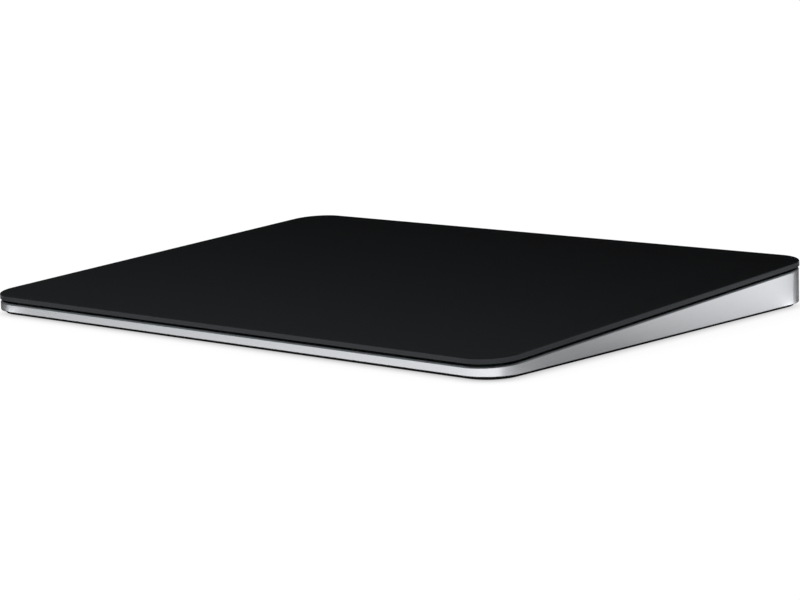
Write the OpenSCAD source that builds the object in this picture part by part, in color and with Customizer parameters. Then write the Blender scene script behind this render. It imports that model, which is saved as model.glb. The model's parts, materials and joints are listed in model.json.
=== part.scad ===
// Wedge-shaped desktop trackpad: a black glass plate that floats on four force beams over a milled
// aluminium tub, with a haptic engine, a battery, a logic board, a charging socket and a power switch.
// Millimetres. The origin is on the desk, under the middle. +X is right, +Y is the back, +Z is up.

/* [Overall] */
// Width of the glass, side to side
plate_w = 160; // [158:0.5:166]
// Depth of the glass seen from above, front to back
plate_d = 114.9; // [114.4:0.1:120]
// Height of the glass at its front edge
front_h = 4.8; // [4.8:0.05:5.2]
// Height of the glass at its back edge
back_h = 10.9; // [10.9:0.1:11.6]
// Corner radius of the glass outline
corner_r = 8.4; // [8:0.1:10]

/* [Touch stack] */
// Thickness of the glass
glass_t = 1.15; // [1:0.05:1.2]
// Chamfer round the glass's ground edges
glass_chamfer = 0.12; // [0.05:0.01:0.2]
// Thickness of the black print and bonding film under the glass
ink_t = 0.1; // [0.05:0.01:0.12]
// Thickness of the touch sensor board
sensor_t = 0.7; // [0.6:0.05:0.7]
// Thickness of the steel stiffener
stiffener_t = 0.5; // [0.4:0.05:0.5]
// Thickness of the gel pads
pad_t = 0.5; // [0.4:0.05:0.5]
// Thickness of the force beams
beam_t = 0.6; // [0.5:0.05:0.6]

/* [Tub] */
// How far the tub's sides stand in from the glass outline
tub_inset = 0.1; // [0.05:0.05:0.3]
// Thickness of the tub's side walls
wall_t = 1.6; // [1.4:0.1:1.8]
// Depth of the tub's rim under the top of the glass
rim_drop = 1.75; // [1.55:0.05:1.8]
// Chamfer along the tub's rim
rim_chamfer = 0.3; // [0.2:0.05:0.5]
// Thickness of the tub's floor
floor_t = 0.5; // [0.45:0.05:0.5]
// How far the tub's lip hangs down over the adhesive ring
lip_h = 0.05; // [0.05:0.05:0.2]

/* [Base] */
// How far the feet stand proud of the base plate
foot_h = 0.3; // [0.25:0.05:0.3]
// Radius of a foot
foot_r = 4.5; // [3.5:0.5:5]
// Thickness of the base plate
base_t = 0.7; // [0.6:0.05:0.7]
// How far the base plate stands in from the glass outline
base_inset = 1.3; // [1.3:0.05:1.6]

/* [Back edge] */
// Sideways place of the power switch
switch_x = -38; // [-38:1:-35]
// Travel of the power switch, from off to on
switch_travel = 3.2; // [2.5:0.1:3.2]
// Depth of the charging socket
socket_depth = 7.3; // [6.5:0.1:7.5]

/* [Hidden] */
$fn = 96;
// Clearance of a close fit
fit = 0.02;
// How far a cut runs past the face that it opens
past = 1;

// Slope of the glass, and the frame that lies in its top face
slope = atan((back_h - front_h) / plate_d);
mid_h = (front_h + back_h) / 2;
tilt_d = plate_d / cos(slope);

// Depths under the top of the glass, at the lower face of each layer
glass_u = glass_t;
ink_u = glass_u + ink_t;
sensor_u = ink_u + sensor_t;
stiffener_u = sensor_u + stiffener_t;
pad_u = stiffener_u + pad_t;
beam_u = pad_u + beam_t;

// Heights over the desk
base_z = foot_h;
base_top = base_z + base_t;
tape_t = 0.1;
floor_z = base_top + tape_t;
floor_top = floor_z + floor_t;
lip_z = floor_z - lip_h;
over_all = back_h + 5;

// Plan outlines
tub_w = plate_w - 2 * tub_inset;
tub_d = plate_d - 2 * tub_inset;
tub_r = corner_r - tub_inset;
pocket_inset = tub_inset + wall_t;
pocket_x = plate_w / 2 - pocket_inset;
pocket_y = plate_d / 2 - pocket_inset;
back_face = plate_d / 2 - tub_inset;
foot_x = plate_w / 2 - 14;
foot_y = plate_d / 2 - 13.5;
foot_sink = 0.25;
foot_gap = 0.1;

// Force beams: fixed end outboard on a boss, neck with a strain gauge, tip under a gel pad
beam_y = plate_d / 2 - 13.4;
beam_out = pocket_x - 2.3;
beam_end_l = 10;
beam_neck_l = 9;
beam_tip_l = 11;
beam_end_w = 11;
beam_neck_w = 6;
beam_mid = beam_out - beam_end_l - beam_neck_l / 2;
beam_tip_mid = beam_out - beam_end_l - beam_neck_l - beam_tip_l / 2;
beam_hole_x = beam_out - beam_end_l / 2;
beam_hole_dy = 3.2;
pad_w = 8;
pad_d = 7;
pad_corner = 1.5;
gauge_w = 6;
gauge_d = 4.4;
gauge_t = 0.08;

// Small screws
screw_r = 0.7;
screw_head_r = 1.2;
screw_head_h = 0.4;
screw_bore_r = 1.35;
screw_seat = 1.0;
screw_key_r = 0.55;

// Haptic engine, lying parallel to the glass in front of the battery
engine_y = -25;
engine_tray_u = beam_u + 0.5;
engine_tray_t = 0.3;
engine_foot_u = engine_tray_u + engine_tray_t;
engine_core_u = pad_u;
engine_half = 9;
engine_gap = 0.5;
engine_bar_x = 5;
engine_core_x = engine_bar_x + engine_gap;
engine_core_l = 15;
engine_yoke = 3;
engine_leg = 3;
engine_mid_leg = 2.5;
engine_mid_t = 0.56;
engine_ear_x = 30;
engine_ear_dy = 6;
engine_ear_r = 2.2;
engine_boss_r = 2;
engine_screw_r = 0.6;
engine_screw_l = 0.75;
engine_key_r = 0.5;

// Battery
cell_w = 97;
cell_y = 15;
cell_d = 44;
cell_t = 2.9;
cell_z = floor_top + tape_t;
guard_w = 40;
guard_d = 3;
guard_z = floor_top + 0.6;
guard_t = 1;

// Logic board along the back wall
board_w = 116;
board_front = pocket_y - 14.95;
board_back = pocket_y - 1.15;
board_z = floor_top + 1;
board_t = 0.8;
board_top = board_z + board_t;
board_hole_x = board_w / 2 - 3.5;
board_hole_y = [board_front + 3.2, board_back - 3.1];
board_hole_r = 0.8;
board_boss_r = 2;
board_screw_r = 0.65;
board_screw_bite = 0.9;
connector_h = 0.7;
lead_w = 6;
lead_t = 0.15;
lead_x = -6;
lead_plug_y = board_front + 1.4;
lead_plug_d = 2;

// What stands on the logic board
can_y = board_front + 5.4;
can_d = 9;
processor_x = 38;
radio_x = -21;
charger_x = 5;
inductor_x = 11.5;
charger_y = board_front + 5;
component_y = can_y - 3.6;
component_count = 6;

// Charging socket, an oblong receptacle of the common reversible kind
socket_w = 8.94;
socket_h = 3.26;
socket_wall = 0.3;
socket_z = board_top + socket_h / 2;
socket_mouth = back_face - 0.25;
socket_end = socket_mouth - socket_depth;
socket_clear = 0.12;
tongue_w = 6.69;
tongue_t = 0.7;
tongue_l = 4.45;
tongue_root = 1.4;
contact_pitch = 0.5;
contact_count = 12;
saddle_y = socket_end + 2.6;
saddle_foot_x = socket_w / 2 + 2.2;
saddle_t = 0.4;

// Power switch
off_x = switch_x - switch_travel / 2;
slot_l = 8.4;
slot_h = 3;
knob_gap = 0.2;
knob_l = slot_l - switch_travel - 2 * knob_gap;
knob_h = slot_h - 2 * knob_gap;
knob_out = back_face - 0.2;
knob_in = back_face - wall_t - 0.1;
gasket_t = 0.4;
backing_t = 0.3;
backing_out = back_face - wall_t - gasket_t;
backing_l = slot_l + 4;
backing_h = slot_h + 1.6;
stem_w = 1.4;
stem_h = 1;
stem_in = board_back - 1.6;
stem_slot_l = stem_w + switch_travel + 0.4;
stem_slot_h = stem_h + 0.4;

// Ribbon cable from the touch sensor to the logic board
ribbon_x = 22;
ribbon_w = 8;
ribbon_t = 0.12;
ribbon_bend_t = 0.1;
ribbon_lap = 0.15;
ribbon_bend_y = pocket_y - 9.75;
ribbon_low_z = board_top + connector_h + ribbon_t / 2;
ribbon_plug_u = sensor_u + connector_h;
ribbon_drop = (ribbon_plug_u + ribbon_t / 2) / cos(slope);
ribbon_rise = mid_h + ribbon_bend_y * tan(slope) - ribbon_low_z - ribbon_drop;
ribbon_r = ribbon_rise / (1 + cos(slope) + sin(slope) * tan(slope));
ribbon_plug_y = pocket_y - 19.75;
ribbon_plug_w = ribbon_w + 1;
ribbon_plug_d = 3;

// Height in the tilted frame of a point at world height z over the tilted place yt
function tilt_z(yt, z) = (z - mid_h - yt * sin(slope)) / cos(slope);

// Outline of half a slab's section, with a chamfer on either edge
function half_section(reach, z0, z1, low_c, top_c) = concat(
    [[0, z0]],
    low_c > 0 ? [[reach - low_c, z0], [reach, z0 + low_c]] : [[reach, z0]],
    top_c > 0 ? [[reach, z1 - top_c], [reach - top_c, z1]] : [[reach, z1]],
    [[0, z1]]
);

// The frame that lies in the top face of the glass
module tilted() {
    translate([0, 0, mid_h]) rotate([slope, 0, 0]) children();
}

// A copy on each side, left and right
module both_sides() {
    children();
    mirror([1, 0, 0]) children();
}

// A copy at each corner of the touch stack, in the tilted frame
module each_corner(x, y) {
    for (side = [-1, 1], end = [-1, 1]) {
        translate([side * x, end * y, 0]) mirror([side < 0 ? 1 : 0, 0, 0]) children();
    }
}

// A box between two heights, centred in plan
module block(w, d, z0, z1) {
    translate([-w / 2, -d / 2, z0]) cube([w, d, z1 - z0]);
}

// A slab with round corners and chamfered edges, of true planes, cylinders and cones
module rounded_slab(w, d, r, z0, z1, low_c = 0, top_c = 0) {
    section = half_section(r, z0, z1, low_c, top_c);
    for (side = [-1, 1], end = [-1, 1]) {
        start = side > 0 ? (end > 0 ? 0 : 270) : (end > 0 ? 90 : 180);
        translate([side * (w / 2 - r), end * (d / 2 - r), 0]) {
            rotate([0, 0, start]) rotate_extrude(angle = 90) polygon(section);
        }
    }
    for (turn = [0, 180]) {
        rotate([0, 0, turn]) translate([-(w / 2 - r), d / 2 - r, 0]) {
            rotate([90, 0, 90]) linear_extrude(w - 2 * r) polygon(section);
        }
        rotate([0, 0, turn]) translate([0, d / 2 - r, 0]) rotate([90, 0, 0]) {
            linear_extrude(d - 2 * r) polygon(half_section(w / 2, z0, z1, low_c, top_c));
        }
    }
}

// An oblong bar with half-round ends, lying along X, standing on z0
module obround(l, h, z0, z1, top_c = 0) {
    section = half_section(h / 2, z0, z1, 0, top_c);
    for (turn = [0, 180]) {
        rotate([0, 0, turn]) translate([l / 2 - h / 2, 0, 0]) {
            rotate([0, 0, -90]) rotate_extrude(angle = 180) polygon(section);
        }
        rotate([0, 0, turn]) translate([-(l - h) / 2, 0, 0]) rotate([90, 0, 90]) {
            linear_extrude(l - h) polygon(section);
        }
    }
}

// The same bar seen from behind, its axis along Y between two depths
module obround_y(l, h, y0, y1, top_c = 0) {
    rotate([90, 0, 180]) obround(l, h, y0, y1, top_c);
}

// A small screw on +Z: its head stands on z 0 and its shank goes down
module small_screw(shank_r, shank_l, head_r, head_h, socket_r) {
    difference() {
        union() {
            cylinder(r = head_r, h = head_h);
            translate([0, 0, -shank_l]) cylinder(r = shank_r, h = shank_l);
        }
        translate([0, 0, head_h * 0.45]) cylinder(r = socket_r, h = head_h, $fn = 6);
    }
}

// Glass plate with ground, chamfered edges
module glass_plate() {
    color([0.09, 0.09, 0.095]) tilted() {
        rounded_slab(plate_w, tilt_d, corner_r, -glass_u, 0, glass_chamfer, glass_chamfer);
    }
}

// Black print and bonding film on the underside of the glass
module ink_film() {
    inset = 0.35;
    color([0.02, 0.02, 0.02]) tilted() {
        rounded_slab(plate_w - 2 * inset, tilt_d - 2 * inset, corner_r - inset, -ink_u, -glass_u);
    }
}

// Touch sensor board, bonded to the glass
module touch_sensor_board() {
    inset = 2.6;
    color([0.05, 0.16, 0.1]) tilted() {
        rounded_slab(plate_w - 2 * inset, tilt_d - 2 * inset, corner_r - inset, -sensor_u, -ink_u);
    }
}

// Places of the touch controller and its two partners on the sensor board
function chip_places() = [[-50, -20], [50, -20], [-50, 14]];

// Touch controller chips under the sensor board, in the stiffener's windows
module sensor_chips() {
    size = 9;
    chip_h = 0.75;
    color([0.08, 0.08, 0.09]) tilted() {
        for (place = chip_places()) {
            translate([place[0], place[1], 0]) block(size, size, -sensor_u - chip_h, -sensor_u);
        }
    }
}

// Ribbon plug under the sensor board
module sensor_plug() {
    color([0.85, 0.82, 0.72]) tilted() {
        translate([ribbon_x, ribbon_plug_y, 0]) {
            block(ribbon_plug_w, ribbon_plug_d, -ribbon_plug_u, -sensor_u);
        }
    }
}

// Steel stiffener with windows for the chips and the ribbon, and rows of lightening holes
module stiffener_plate() {
    inset = 5;
    corner = corner_r - 4;
    chip_window = 12;
    ribbon_window_w = ribbon_w + 4;
    ribbon_window_d = 13;
    ribbon_window_y = ribbon_plug_y + 2.5;
    hole_r = 5;
    hole_pitch = 18;
    under = -stiffener_u - past;
    color([0.62, 0.63, 0.65]) tilted() difference() {
        rounded_slab(plate_w - 2 * inset, tilt_d - 2 * inset, corner, -stiffener_u, -sensor_u);
        for (place = chip_places()) {
            translate([place[0], place[1], 0]) block(chip_window, chip_window, under, 0);
        }
        translate([ribbon_x, ribbon_window_y, 0]) block(ribbon_window_w, ribbon_window_d, under, 0);
        for (column = [-2:2], row = [0, 1]) {
            translate([column * hole_pitch, row * hole_pitch, under]) {
                cylinder(r = hole_r, h = stiffener_t + 2 * past);
            }
        }
    }
}

// Soft iron bar welded under the stiffener, pulled sideways by the haptic cores
module haptic_armature() {
    gap_under = 0.3;
    color([0.45, 0.45, 0.47]) tilted() translate([0, engine_y, 0]) {
        block(2 * engine_bar_x, 2 * engine_half, -engine_tray_u + gap_under, -stiffener_u);
    }
}

// Gel pads between the beam tips and the stiffener
module gel_pads() {
    color([0.5, 0.55, 0.6]) tilted() each_corner(beam_tip_mid, beam_y) {
        rounded_slab(pad_w, pad_d, pad_corner, -pad_u, -stiffener_u);
    }
}

// Plan of a force beam: broad fixed end, narrow neck and broad tip, about the neck's middle
module beam_outline() {
    neck = beam_neck_l / 2;
    end = neck + beam_end_l;
    tip = neck + beam_tip_l;
    flare = (beam_end_w - beam_neck_w) / 2;
    half = beam_end_w / 2;
    slim = beam_neck_w / 2;
    polygon([
        [-tip, -half], [-neck - flare, -half], [-neck, -slim], [neck, -slim], [neck + flare, -half],
        [end, -half], [end, half], [neck + flare, half], [neck, slim], [-neck, slim],
        [-neck - flare, half], [-tip, half]
    ]);
}

// Four bending beams of spring steel that carry the touch plate
module force_beams() {
    color([0.7, 0.7, 0.72]) tilted() each_corner(beam_mid, beam_y) difference() {
        translate([0, 0, -beam_u]) linear_extrude(beam_t) beam_outline();
        for (dy = [-beam_hole_dy, beam_hole_dy]) {
            translate([beam_hole_x - beam_mid, dy, -beam_u - past]) {
                cylinder(r = screw_r + fit, h = beam_t + 2 * past);
            }
        }
    }
}

// Film strain gauges on the beams' necks
module strain_gauges() {
    color([0.75, 0.55, 0.25]) tilted() each_corner(beam_mid, beam_y) {
        block(gauge_w, gauge_d, -pad_u, -pad_u + gauge_t);
    }
}

// Depth of the screw seats under a beam end, in the tilted frame
function seat_u(yt) = min(-tilt_z(yt, floor_z) - screw_head_h - fit, beam_u + screw_seat);

// Eight screws that come up through the tub's floor into the beams
module beam_screws() {
    sunk = 0.05;
    color([0.3, 0.3, 0.32]) tilted() {
        for (side = [-1, 1], end = [-1, 1], dy = [-beam_hole_dy, beam_hole_dy]) {
            place = end * beam_y + dy;
            seat = seat_u(place);
            translate([side * beam_hole_x, place, -seat]) rotate([180, 0, 0]) {
                small_screw(screw_r, seat - pad_u, screw_head_r, screw_head_h - sunk, screw_key_r);
            }
        }
    }
}

// Bosses that rise from the tub's floor to the beams and the haptic tray
module tilted_bosses() {
    deep = back_h;
    margin = 0.5;
    boss_w = pocket_x - beam_out + beam_end_l + wall_t / 2;
    boss_x = beam_out - beam_end_l + margin + boss_w / 2;
    tilted() {
        for (side = [-1, 1], end = [-1, 1]) {
            translate([side * boss_x, end * beam_y, 0]) {
                block(boss_w, beam_end_w - 2 * margin, -deep, -beam_u);
            }
        }
        for (side = [-1, 1], dy = [-engine_ear_dy, engine_ear_dy]) {
            translate([side * engine_ear_x, engine_y + dy, -deep]) {
                cylinder(r = engine_boss_r, h = deep - engine_foot_u);
            }
        }
    }
}

// Everything the tub is bored with from the tilted frame: beam screws and haptic screws
module tilted_bores() {
    deep = back_h;
    spare = 0.05;
    engine_bore = engine_screw_l - engine_tray_t + spare;
    tilted() {
        for (side = [-1, 1], end = [-1, 1], dy = [-beam_hole_dy, beam_hole_dy]) {
            place = end * beam_y + dy;
            translate([side * beam_hole_x, place, -deep]) {
                cylinder(r = screw_bore_r, h = deep - seat_u(place));
                cylinder(r = screw_r + fit, h = deep);
            }
        }
        for (side = [-1, 1], dy = [-engine_ear_dy, engine_ear_dy]) {
            translate([side * engine_ear_x, engine_y + dy, -engine_foot_u - engine_bore]) {
                cylinder(r = engine_screw_r + fit, h = engine_bore + past);
            }
        }
    }
}

// Low ribs on the tub's floor at the corners of the battery
module battery_fences() {
    rib = 0.8;
    arm = 9;
    gap = 0.4;
    height = 1.2;
    for (side = [-1, 1], end = [-1, 1]) {
        translate([side * (cell_w / 2 + gap), cell_y + end * (cell_d / 2 + gap), floor_top]) {
            mirror([side < 0 ? 1 : 0, 0, 0]) mirror([0, end < 0 ? 1 : 0, 0]) {
                translate([0, -arm, 0]) cube([rib, arm + rib, height]);
                translate([-arm, 0, 0]) cube([arm + rib, rib, height]);
            }
        }
    }
}

// Everything under the tub's sloping rim and inside its chamfer. It stands out past the walls, and its
// corner arcs start a little outside theirs, so that no two seams lie on one line.
module rim_cut() {
    reach = 0.3;
    seam = 0.05;
    tilted() translate([0, -rim_drop * tan(slope), 0]) {
        rounded_slab(
            tub_w + 2 * reach, tub_d / cos(slope) + 2 * reach, tub_r + reach - seam,
            -over_all, -rim_drop, 0, rim_chamfer + reach
        );
    }
}

// Milled aluminium tub: wedge walls, floor, bosses, and the two mouths in the back wall
module housing_tub() {
    lip_chamfer = 0.12;
    recess_gap = 0.15;
    recess_inset = base_inset - recess_gap;
    board_bore = 0.2;
    color([0.77, 0.78, 0.8]) difference() {
        union() {
            difference() {
                intersection() {
                    rounded_slab(tub_w, tub_d, tub_r, lip_z, over_all, lip_chamfer);
                    rim_cut();
                }
                rounded_slab(2 * pocket_x, 2 * pocket_y, corner_r - pocket_inset, floor_top, over_all + past);
            }
            intersection() {
                tilted_bosses();
                block(2 * pocket_x + wall_t, 2 * pocket_y + wall_t, floor_z, over_all);
            }
            for (side = [-1, 1], y = board_hole_y) {
                translate([side * board_hole_x, y, floor_top]) {
                    cylinder(r = board_boss_r, h = board_z - floor_top);
                }
            }
            battery_fences();
        }
        rounded_slab(
            plate_w - 2 * recess_inset, plate_d - 2 * recess_inset, corner_r - recess_inset,
            lip_z - past, floor_z
        );
        tilted_bores();
        for (side = [-1, 1], y = board_hole_y) {
            translate([side * board_hole_x, y, floor_top - board_bore]) {
                cylinder(r = board_screw_r + fit, h = board_z);
            }
        }
        translate([0, 0, socket_z]) {
            obround_y(
                socket_w + 2 * socket_clear, socket_h + 2 * socket_clear, pocket_y - past, back_face + past
            );
            translate([switch_x, 0, 0]) obround_y(slot_l, slot_h, pocket_y - past, back_face + past);
        }
    }
}

// Ring of adhesive between the tub and the base plate
module base_tape() {
    inset = base_inset + 0.3;
    band = 4.5;
    inner = inset + band;
    inner_corner = 1.5;
    color([0.15, 0.15, 0.15]) difference() {
        rounded_slab(plate_w - 2 * inset, plate_d - 2 * inset, corner_r - inset, base_top, floor_z);
        rounded_slab(plate_w - 2 * inner, plate_d - 2 * inner, inner_corner, base_top - past, floor_z + past);
    }
}

// Black base plate with recesses for the feet
module base_plate() {
    chamfer = 0.15;
    color([0.04, 0.04, 0.045]) difference() {
        rounded_slab(
            plate_w - 2 * base_inset, plate_d - 2 * base_inset, corner_r - base_inset,
            base_z, base_top, chamfer
        );
        for (side = [-1, 1], end = [-1, 1]) {
            translate([side * foot_x, end * foot_y, 0]) {
                cylinder(r = foot_r + foot_gap, h = base_z + foot_sink);
            }
        }
    }
}

// Rubber feet, each a disc with a chamfered lower edge
module rubber_feet() {
    chamfer = 0.15;
    color([0.1, 0.1, 0.1]) for (side = [-1, 1], end = [-1, 1]) {
        translate([side * foot_x, end * foot_y, 0]) rotate_extrude() {
            polygon(half_section(foot_r, 0, base_z + foot_sink, chamfer, 0));
        }
    }
}

// Steel tray that carries the haptic cores, with an ear at each corner
module haptic_tray() {
    margin = 0.5;
    tray_w = 2 * (engine_core_x + engine_core_l + margin);
    tray_d = 2 * (engine_half + margin);
    hole_r = engine_screw_r + 0.15;
    color([0.6, 0.6, 0.62]) tilted() translate([0, engine_y, 0]) difference() {
        union() {
            block(tray_w, tray_d, -engine_foot_u, -engine_tray_u);
            for (dy = [-engine_ear_dy, engine_ear_dy]) {
                translate([0, dy, 0]) {
                    block(2 * engine_ear_x, 2 * engine_ear_r, -engine_foot_u, -engine_tray_u);
                }
                for (side = [-1, 1]) {
                    translate([side * engine_ear_x, dy, -engine_foot_u]) {
                        cylinder(r = engine_ear_r, h = engine_tray_t);
                    }
                }
            }
        }
        for (side = [-1, 1], dy = [-engine_ear_dy, engine_ear_dy]) {
            translate([side * engine_ear_x, dy, -engine_foot_u - past]) {
                cylinder(r = hole_r, h = engine_tray_t + 2 * past);
            }
        }
    }
}

// Two laminated E cores that face the armature
module haptic_cores() {
    slot = engine_half - engine_leg - engine_mid_leg;
    leg_l = engine_core_l - engine_yoke;
    mid = (engine_core_u + engine_tray_u) / 2;
    thinning = past + engine_tray_u - mid - engine_mid_t / 2;
    color([0.35, 0.36, 0.38]) tilted() both_sides() translate([engine_core_x, engine_y, 0]) {
        difference() {
            translate([0, -engine_half, -engine_tray_u]) {
                cube([engine_core_l, 2 * engine_half, engine_tray_u - engine_core_u]);
            }
            for (end = [-1, 1]) {
                translate([leg_l / 2, end * (engine_mid_leg + slot / 2), 0]) {
                    block(leg_l, slot, -engine_tray_u - past, 0);
                }
            }
            for (level = [-engine_tray_u - past, -mid + engine_mid_t / 2]) {
                translate([leg_l / 2, 0, 0]) {
                    block(leg_l, 2 * (engine_mid_leg + past), level, level + thinning);
                }
            }
        }
    }
}

// Two flat copper coils wound on the middle legs of the cores
module haptic_coils() {
    front_gap = 1.5;
    back_gap = 0.3;
    side_gap = 0.3;
    leg_gap = 0.1;
    coil_l = engine_core_l - engine_yoke - front_gap - back_gap;
    outer = 2 * (engine_half - engine_leg - side_gap);
    inner = 2 * (engine_mid_leg + leg_gap);
    mid = (engine_core_u + engine_tray_u) / 2;
    hole = engine_mid_t / 2 + fit;
    color([0.72, 0.42, 0.2]) tilted() both_sides() translate([engine_core_x + front_gap, engine_y, 0]) {
        difference() {
            translate([coil_l / 2, 0, 0]) block(coil_l, outer, -engine_tray_u, -engine_core_u);
            translate([coil_l / 2, 0, 0]) block(coil_l + 2 * past, inner, -mid - hole, -mid + hole);
        }
    }
}

// Screws of the haptic tray
module haptic_screws() {
    color([0.3, 0.3, 0.32]) tilted() {
        for (side = [-1, 1], dy = [-engine_ear_dy, engine_ear_dy]) {
            translate([side * engine_ear_x, engine_y + dy, -engine_tray_u]) {
                small_screw(engine_screw_r, engine_screw_l, screw_head_r, screw_head_h, engine_key_r);
            }
        }
    }
}

// Flat pouch cell
module battery_cell() {
    corner = 2;
    edge = 0.3;
    color([0.2, 0.21, 0.23]) translate([0, cell_y, 0]) {
        rounded_slab(cell_w, cell_d, corner, cell_z, cell_z + cell_t, edge, edge);
    }
}

// Two strips of adhesive under the cell
module battery_tapes() {
    strip_l = cell_w - 16;
    strip_w = 8;
    color([0.9, 0.9, 0.88]) for (end = [-1, 1]) {
        translate([0, cell_y + end * cell_d / 4, 0]) block(strip_l, strip_w, floor_top, cell_z);
    }
}

// Protection board along the cell's back edge
module battery_guard_board() {
    color([0.1, 0.28, 0.16]) translate([lead_x, cell_y + cell_d / 2 + guard_d / 2, 0]) {
        block(guard_w, guard_d, guard_z, guard_z + guard_t);
    }
}

// Lead from the protection board up to its plug on the logic board
module battery_lead() {
    guard_back = cell_y + cell_d / 2 + guard_d;
    solder_l = 1.5;
    rise_y = guard_back + 0.25;
    plug_back = lead_plug_y + lead_plug_d / 2;
    low = guard_z + guard_t;
    high = board_top + connector_h;
    color([0.75, 0.5, 0.2]) translate([lead_x - lead_w / 2, 0, 0]) {
        translate([0, guard_back - solder_l, low]) {
            cube([lead_w, rise_y + lead_t - guard_back + solder_l, lead_t]);
        }
        translate([0, rise_y, low]) cube([lead_w, lead_t, high + lead_t - low]);
        translate([0, rise_y, high]) cube([lead_w, plug_back - rise_y, lead_t]);
    }
}

// Logic board along the back wall
module logic_board() {
    corner = 1.5;
    color([0.05, 0.18, 0.3]) difference() {
        translate([0, (board_front + board_back) / 2, 0]) {
            rounded_slab(board_w, board_back - board_front, corner, board_z, board_top);
        }
        for (side = [-1, 1], y = board_hole_y) {
            translate([side * board_hole_x, y, board_z - past]) {
                cylinder(r = board_hole_r, h = board_t + 2 * past);
            }
        }
    }
}

// Four screws of the logic board
module board_screws() {
    head_r = 1.3;
    head_h = 0.5;
    key_r = 0.6;
    color([0.3, 0.3, 0.32]) for (side = [-1, 1], y = board_hole_y) {
        translate([side * board_hole_x, y, board_top]) {
            small_screw(board_screw_r, board_t + board_screw_bite, head_r, head_h, key_r);
        }
    }
}

// Plugs on the logic board for the battery lead and the touch ribbon
module board_plugs() {
    plug_top = board_top + connector_h;
    ribbon_entry = 2;
    color([0.85, 0.82, 0.72]) {
        translate([lead_x, lead_plug_y, 0]) block(lead_w + 1, lead_plug_d, board_top, plug_top);
        translate([ribbon_x, ribbon_bend_y - ribbon_entry, 0]) {
            block(ribbon_plug_w, ribbon_plug_d, board_top, plug_top);
        }
    }
}

// A square chip under a shield can
module chip_under_can(x, size) {
    chip_h = 0.9;
    translate([x, can_y, 0]) block(size, size, board_top, board_top + chip_h);
}

// Main processor
module main_processor() {
    size = 7;
    color([0.08, 0.08, 0.09]) chip_under_can(processor_x, size);
}

// Radio
module radio_chip() {
    size = 5.5;
    color([0.08, 0.08, 0.09]) chip_under_can(radio_x, size);
}

// Two folded tin cans, open below
module shield_cans() {
    processor_can_w = 16;
    radio_can_w = 18;
    can_h = 1.5;
    skin = 0.2;
    corner = 0.5;
    fold = 0.15;
    color([0.75, 0.75, 0.73]) for (can = [[processor_x, processor_can_w], [radio_x, radio_can_w]]) {
        translate([can[0], can_y, 0]) difference() {
            rounded_slab(can[1], can_d, corner, board_top, board_top + can_h, 0, fold);
            block(can[1] - 2 * skin, can_d - 2 * skin, board_top - past, board_top + can_h - skin);
        }
    }
}

// Charger chip, between the battery plug and the ribbon
module charger_chip() {
    size = 4;
    chip_h = 0.8;
    color([0.08, 0.08, 0.09]) translate([charger_x, charger_y, 0]) {
        block(size, size, board_top, board_top + chip_h);
    }
}

// Inductor of the charger
module charger_inductor() {
    size = 4.4;
    coil_h = 1.8;
    corner = 0.6;
    edge = 0.2;
    color([0.28, 0.28, 0.3]) translate([inductor_x, charger_y, 0]) {
        rounded_slab(size, size, corner, board_top, board_top + coil_h, 0, edge);
    }
}

// Rows of resistors and capacitors beside the processor and the switch
module small_components() {
    // Each row: place of its first piece, pitch, and the pieces' width, depth and height
    resistors = [47.5, 0.95, 0.6, 1.1, 0.5];
    capacitors = [-49, 1.6, 0.9, 1.7, 0.8];
    color([0.6, 0.5, 0.38]) for (row = [resistors, capacitors], step = [0:component_count - 1]) {
        translate([row[0] + step * row[1], component_y, 0]) {
            block(row[2], row[3], board_top, board_top + row[4]);
        }
    }
}

// Ceramic antenna at the board's outer back corner
module antenna() {
    antenna_w = 9;
    antenna_d = 3;
    antenna_h = 1.2;
    corner = 0.4;
    edge = 0.1;
    color([0.9, 0.88, 0.82]) translate([processor_x + 2, board_back - 1.9, 0]) {
        rounded_slab(antenna_w, antenna_d, corner, board_top, board_top + antenna_h, 0, edge);
    }
}

// Arc of the ribbon's bend, in the plane of Y and Z. It is a thinner film, so that it bends easily.
module ribbon_bend() {
    rotate([90, 0, 90]) rotate([0, 0, -90]) rotate_extrude(angle = 180 + slope) {
        translate([ribbon_r - ribbon_bend_t / 2, 0]) square([ribbon_bend_t, ribbon_w]);
    }
}

// Ribbon cable, folded back on itself so that the touch plate is free to move. Its straight runs lap
// the ends of the bend.
module touch_ribbon() {
    low_l = 3.5;
    high_l = ribbon_bend_y - ribbon_plug_y + 1.5;
    half = ribbon_t / 2;
    color([0.75, 0.5, 0.2]) translate([ribbon_x - ribbon_w / 2, ribbon_bend_y, ribbon_low_z + ribbon_r]) {
        ribbon_bend();
        translate([0, -low_l, -ribbon_r - half]) cube([ribbon_w, low_l + ribbon_lap, ribbon_t]);
        rotate([slope, 0, 0]) translate([0, -high_l, ribbon_r - half]) {
            cube([ribbon_w, high_l + ribbon_lap, ribbon_t]);
        }
    }
}

// Drawn steel shell of the charging socket, closed at its inner end
module socket_shell() {
    inner_w = socket_w - 2 * socket_wall;
    inner_h = socket_h - 2 * socket_wall;
    color([0.7, 0.7, 0.71]) translate([0, 0, socket_z]) difference() {
        obround_y(socket_w, socket_h, socket_end, socket_mouth);
        obround_y(inner_w, inner_h, socket_end + socket_wall, socket_mouth + past);
    }
}

// Moulded tongue in the socket
module socket_tongue() {
    root_h = 2.2;
    color([0.06, 0.06, 0.065]) translate([-tongue_w / 2, socket_end + socket_wall, socket_z]) {
        translate([0, 0, -root_h / 2]) cube([tongue_w, tongue_root, root_h]);
        translate([0, 0, -tongue_t / 2]) cube([tongue_w, tongue_root + tongue_l, tongue_t]);
    }
}

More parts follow.
